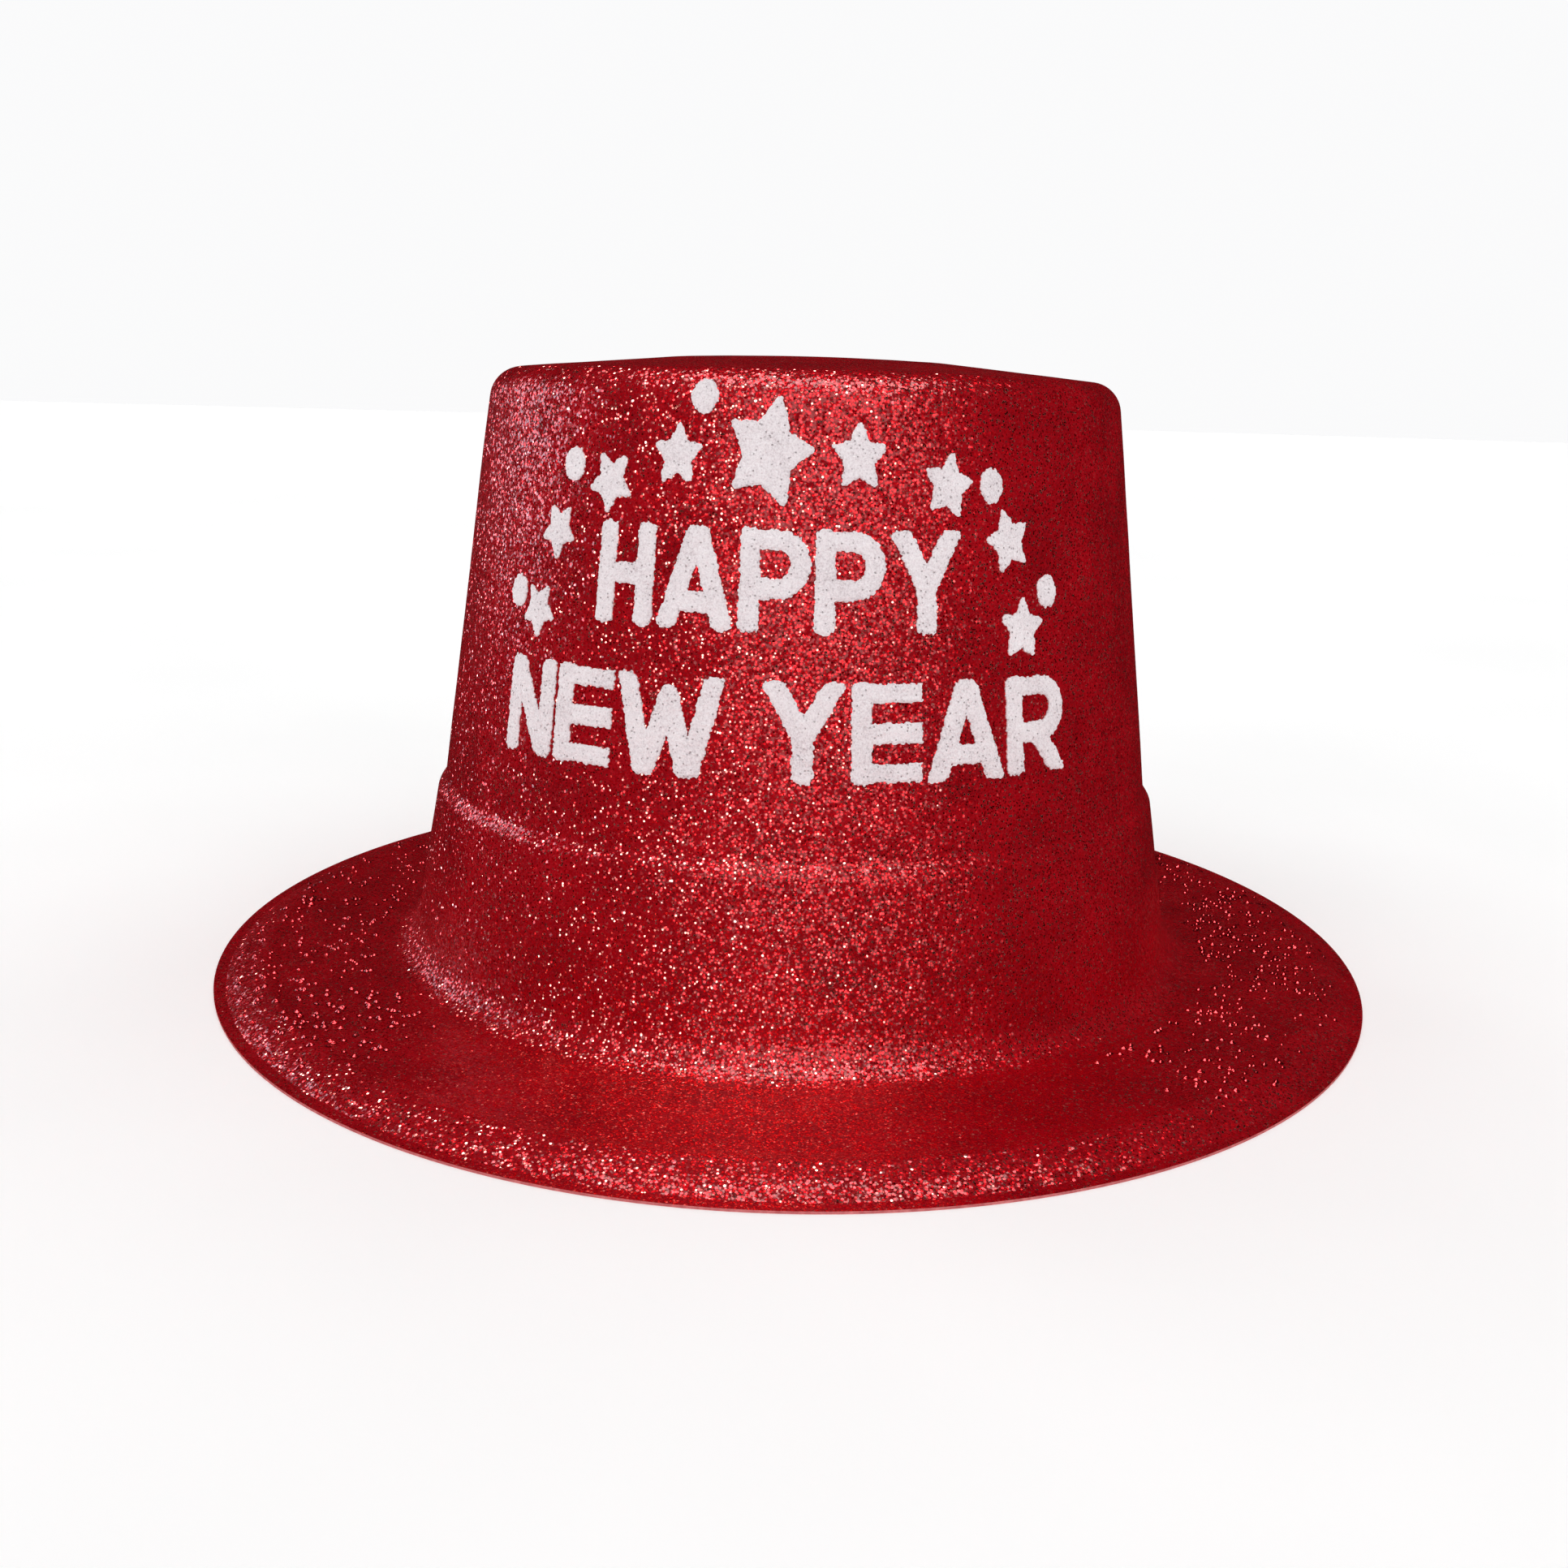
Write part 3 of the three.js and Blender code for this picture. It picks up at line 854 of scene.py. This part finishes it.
def print_grid(low, high):
    """A flat grid of points over a print and a small margin round it."""
    margin = 2 * PRINT_GRID
    axes = [
        np.arange(start - margin, end + margin, PRINT_GRID)
        for start, end in zip(low, high)
    ]
    return np.stack(np.meshgrid(*axes, indexing="ij"), axis=-1)


def pulled_to_edge(flat, distance):
    """Moves the points that are nearest to a print's edge onto it."""
    at_edge = np.abs(distance) < 0.5 * PRINT_GRID
    slope = np.stack(np.gradient(distance, PRINT_GRID), axis=-1)
    slope /= np.maximum(np.linalg.norm(slope, axis=-1, keepdims=True), LEAST_SLOPE)
    return np.where(at_edge[..., None], flat - distance[..., None] * slope, flat)


def slab_faces(keep):
    """Faces of a closed slab over a grid's kept points, whose underside follows its top."""
    cells = keep[:-1, :-1] & keep[1:, :-1] & keep[:-1, 1:] & keep[1:, 1:]
    index = np.arange(keep.size).reshape(keep.shape)
    under = index + keep.size
    rows, columns = np.nonzero(cells)
    corners = [(0, 0), (1, 0), (1, 1), (0, 1)]
    upper_faces = [index[rows + right, columns + above] for right, above in corners]
    lower_faces = [under[rows + right, columns + above] for right, above in corners[::-1]]
    faces = [np.stack(upper_faces, axis=1), np.stack(lower_faces, axis=1)]
    padded = np.pad(cells, 1)
    for (right, above), (next_right, next_above) in zip(corners, corners[1:] + corners[:1]):
        step = (next_above - above, right - next_right)
        beyond = padded[1 + rows + step[0], 1 + columns + step[1]]
        row, column = rows[~beyond], columns[~beyond]
        here = (row + right, column + above)
        there = (row + next_right, column + next_above)
        faces.append(np.stack([index[there], index[here], under[here], under[there]], axis=1))
    return np.concatenate(faces)


def add_print(name, field, low, high, across, up):
    """Makes one raised print from a distance field and wraps it onto the crown."""
    flat = print_grid(low, high)
    on_sheet = np.concatenate([flat + (across, up), np.zeros((*flat.shape[:2], 1))], axis=-1)
    distance = field(flat) + layered_noise(on_sheet, RAGGED_EDGE)
    flat = pulled_to_edge(flat, distance) + (across, up)
    body = PRINT_EDGE_SHARE + (1 - PRINT_EDGE_SHARE) * smooth_step(-distance, 0, PRINT_BEVEL)
    sandy = layered_noise(on_sheet, SANDY_TOP) * smooth_step(-distance, 0, SANDY_START)
    upper = on_crown(flat[..., 0], flat[..., 1], PRINT_THICKNESS * body + sandy)
    lower = on_crown(flat[..., 0], flat[..., 1], -PRINT_SINK)
    points = np.concatenate([upper.reshape(-1, 3), lower.reshape(-1, 3)])
    used, faces = np.unique(slab_faces(distance < 0.5 * PRINT_GRID), return_inverse=True)
    piece = make_object(f"print_{name}", points[used], faces.reshape(-1, 4).tolist(), [white_print])
    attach(piece, "root")
    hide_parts(name)


# ---- Letters: strokes in a letter w wide and h high, where s is half a stroke ----

def bowl(w, h, s):
    """The round part of P and R."""
    foot = BOWL_FOOT * h
    radius = (h - s - foot) / 2
    centre = (w - s - radius, foot + radius)
    return [(s, h - s), *arc(centre, radius, math.pi / 2, -math.pi / 2), (s, foot)]


# (natural width, strokes)
LETTERS = {
    "H": (13, lambda w, h, s: [
        [(s, 0), (s, h)],
        [(w - s, 0), (w - s, h)],
        [(s, h / 2), (w - s, h / 2)],
    ]),
    "A": (16, lambda w, h, s: [
        [(s, 0), (w / 2, h), (w - s, 0)],
        [(w / 3, BAR_HEIGHT * h), (w - w / 3, BAR_HEIGHT * h)],
    ]),
    "P": (14, lambda w, h, s: [
        [(s, 0), (s, h)],
        bowl(w, h, s),
    ]),
    "Y": (15.5, lambda w, h, s: [
        [(s, h), (w / 2, FORK_HEIGHT * h), (w - s, h)],
        [(w / 2, FORK_HEIGHT * h), (w / 2, 0)],
    ]),
    "N": (13, lambda w, h, s: [
        [(s, 0), (s, h), (w - s, 0), (w - s, h)],
    ]),
    "E": (13, lambda w, h, s: [
        [(s, 0), (s, h)],
        [(s, s), (w, s)],
        [(s, h / 2), (w, h / 2)],
        [(s, h - s), (w, h - s)],
    ]),
    "W": (21, lambda w, h, s: [
        [
            (s, h),
            (VALLEY_PLACE * w, 0),
            (w / 2, PEAK_HEIGHT * h),
            (w - VALLEY_PLACE * w, 0),
            (w - s, h),
        ],
    ]),
    "R": (14.5, lambda w, h, s: [
        [(s, 0), (s, h)],
        bowl(w, h, s),
        [(w / 2, BOWL_FOOT * h), (w - s, 0)],
    ]),
}


def build_row(words, middle, base, length):
    """One row of letters, widened to fill its length."""
    letters = []
    for word_index, word in enumerate(words):
        for index, letter in enumerate(word):
            name = f"{word.lower()}_{index + 1}_{letter.lower()}"
            letters.append((letter, name, LETTER_GAP if index else word_index * WORD_GAP))
    gaps = sum(gap for _, _, gap in letters)
    widen = (length - gaps) / sum(LETTERS[letter][0] for letter, _, _ in letters)
    left = middle - length / 2
    for letter, name, gap in letters:
        natural, strokes = LETTERS[letter]
        width = natural * widen
        left += gap
        field = stroke_field(strokes(width, CAP_HEIGHT, STROKE / 2), width)
        add_print(name, field, (0, 0), (width, CAP_HEIGHT), left, base)
        left += width


def build_prints():
    """The greeting's rows, and the stars and dots over them."""
    for row in ROWS:
        build_row(*row)
    for name, across, up, radius, turn in STARS:
        reach = np.array([radius, radius * PRINT_STRETCH]) + STAR_ROUNDING
        add_print(name, star_field(radius, math.radians(turn)), -reach, reach, across, up)
    for name, across, up in DOTS:
        reach = np.array([DOT_RADIUS, DOT_RADIUS * PRINT_STRETCH]) + STAR_ROUNDING
        add_print(name, dot_field, -reach, reach, across, up)


# ---- Building the stage, lights and camera ----

def build_floor():
    """A pale floor level with the brim's edge."""
    reach = STAGE_REACH
    corners = [(-reach, -reach, 0), (reach, -reach, 0), (reach, reach, 0), (-reach, reach, 0)]
    floor = make_object("floor", corners, [(0, 1, 2, 3)], [floor_material()])
    floor.visible_glossy = False


def build_backdrop():
    """A pale backdrop all round, which lights nothing and throws no shadow."""
    count = BACKDROP_SIDES
    around = np.arange(count) * 2 * math.pi / count
    ring = STAGE_REACH * BACKDROP_SHARE * np.stack([np.sin(around), np.cos(around)], axis=-1)
    heights = (-STAGE_REACH * BACKDROP_DIP_SHARE, STAGE_REACH)
    points = np.concatenate([np.insert(ring, 2, height, axis=1) for height in heights])
    quads = []
    for side in range(count):
        beside = (side + 1) % count
        quads.append((side, beside, count + beside, count + side))
    backdrop = make_object("backdrop", points, quads, [backdrop_material()])
    for ray in ("diffuse", "glossy", "transmission", "shadow"):
        setattr(backdrop, f"visible_{ray}", False)


def place_light(data, name, place, target):
    """Puts a light at a place and aims it at a target."""
    light = bpy.data.objects.new(name, data)
    light.location = Vector(place) * MM
    aim = Vector(target) - Vector(place)
    light.rotation_euler = aim.to_track_quat("-Z", "Y").to_euler()
    bpy.context.collection.objects.link(light)
    return light


def add_glint_light(name, place, target, size, power, colour, receivers):
    """A rectangular light that only gives glints, and only on its receivers."""
    data = bpy.data.lights.new(name, "AREA")
    data.shape = "RECTANGLE"
    data.size = size[0] * MM
    data.size_y = size[1] * MM
    data.energy = power
    data.color = colour
    light = place_light(data, name, place, target)
    light.visible_diffuse = False
    light.light_linking.receiver_collection = receivers


def add_fill_light(name, place, strength):
    """A very soft light from a direction, which gives no glints."""
    data = bpy.data.lights.new(name, "SUN")
    data.energy = strength
    data.angle = FILL_SPREAD
    place_light(data, name, place, (0, 0, 0)).visible_glossy = False


def build_world():
    """A faint even light from all round."""
    world = bpy.data.worlds.new("studio")
    world.use_nodes = True
    background = world.node_tree.nodes["Background"]
    background.inputs["Color"].default_value = WORLD_COLOUR
    background.inputs["Strength"].default_value = WORLD_STRENGTH
    bpy.context.scene.world = world
    bpy.context.scene.view_settings.view_transform = "Standard"


def build_lights():
    """A softbox overhead, a wide front light and a cool light at the left, with soft fill."""
    hat = bpy.data.collections.new("hat")
    for obj in bpy.context.scene.objects:
        if obj.type == "MESH" and obj.name not in ("floor", "backdrop"):
            hat.objects.link(obj)
    for light in GLINT_LIGHTS:
        add_glint_light(*light, hat)
    for light in FILL_LIGHTS:
        add_fill_light(*light)


def build_camera():
    """A camera at the front that looks down a little on the hat."""
    forward = Vector((
        math.sin(CAMERA_YAW) * math.cos(CAMERA_PITCH),
        math.cos(CAMERA_YAW) * math.cos(CAMERA_PITCH),
        -math.sin(CAMERA_PITCH),
    ))
    right = Vector((math.cos(CAMERA_YAW), -math.sin(CAMERA_YAW), 0))
    up = right.cross(forward)
    rolled_right = right * math.cos(CAMERA_ROLL) + up * math.sin(CAMERA_ROLL)
    rolled_up = up * math.cos(CAMERA_ROLL) - right * math.sin(CAMERA_ROLL)
    data = bpy.data.cameras.new("camera")
    data.sensor_width = SENSOR_WIDTH
    data.lens = CAMERA_LENS
    data.clip_start = 0.01
    camera = bpy.data.objects.new("camera", data)
    turn = Matrix((rolled_right, rolled_up, -forward)).transposed()
    camera.matrix_world = Matrix.Translation(Vector(CAMERA_PLACE) * MM) @ turn.to_4x4()
    bpy.context.collection.objects.link(camera)
    bpy.context.scene.camera = camera


build_camera()
build_shell()
build_prints()
build_floor()
build_backdrop()
build_lights()
build_world()
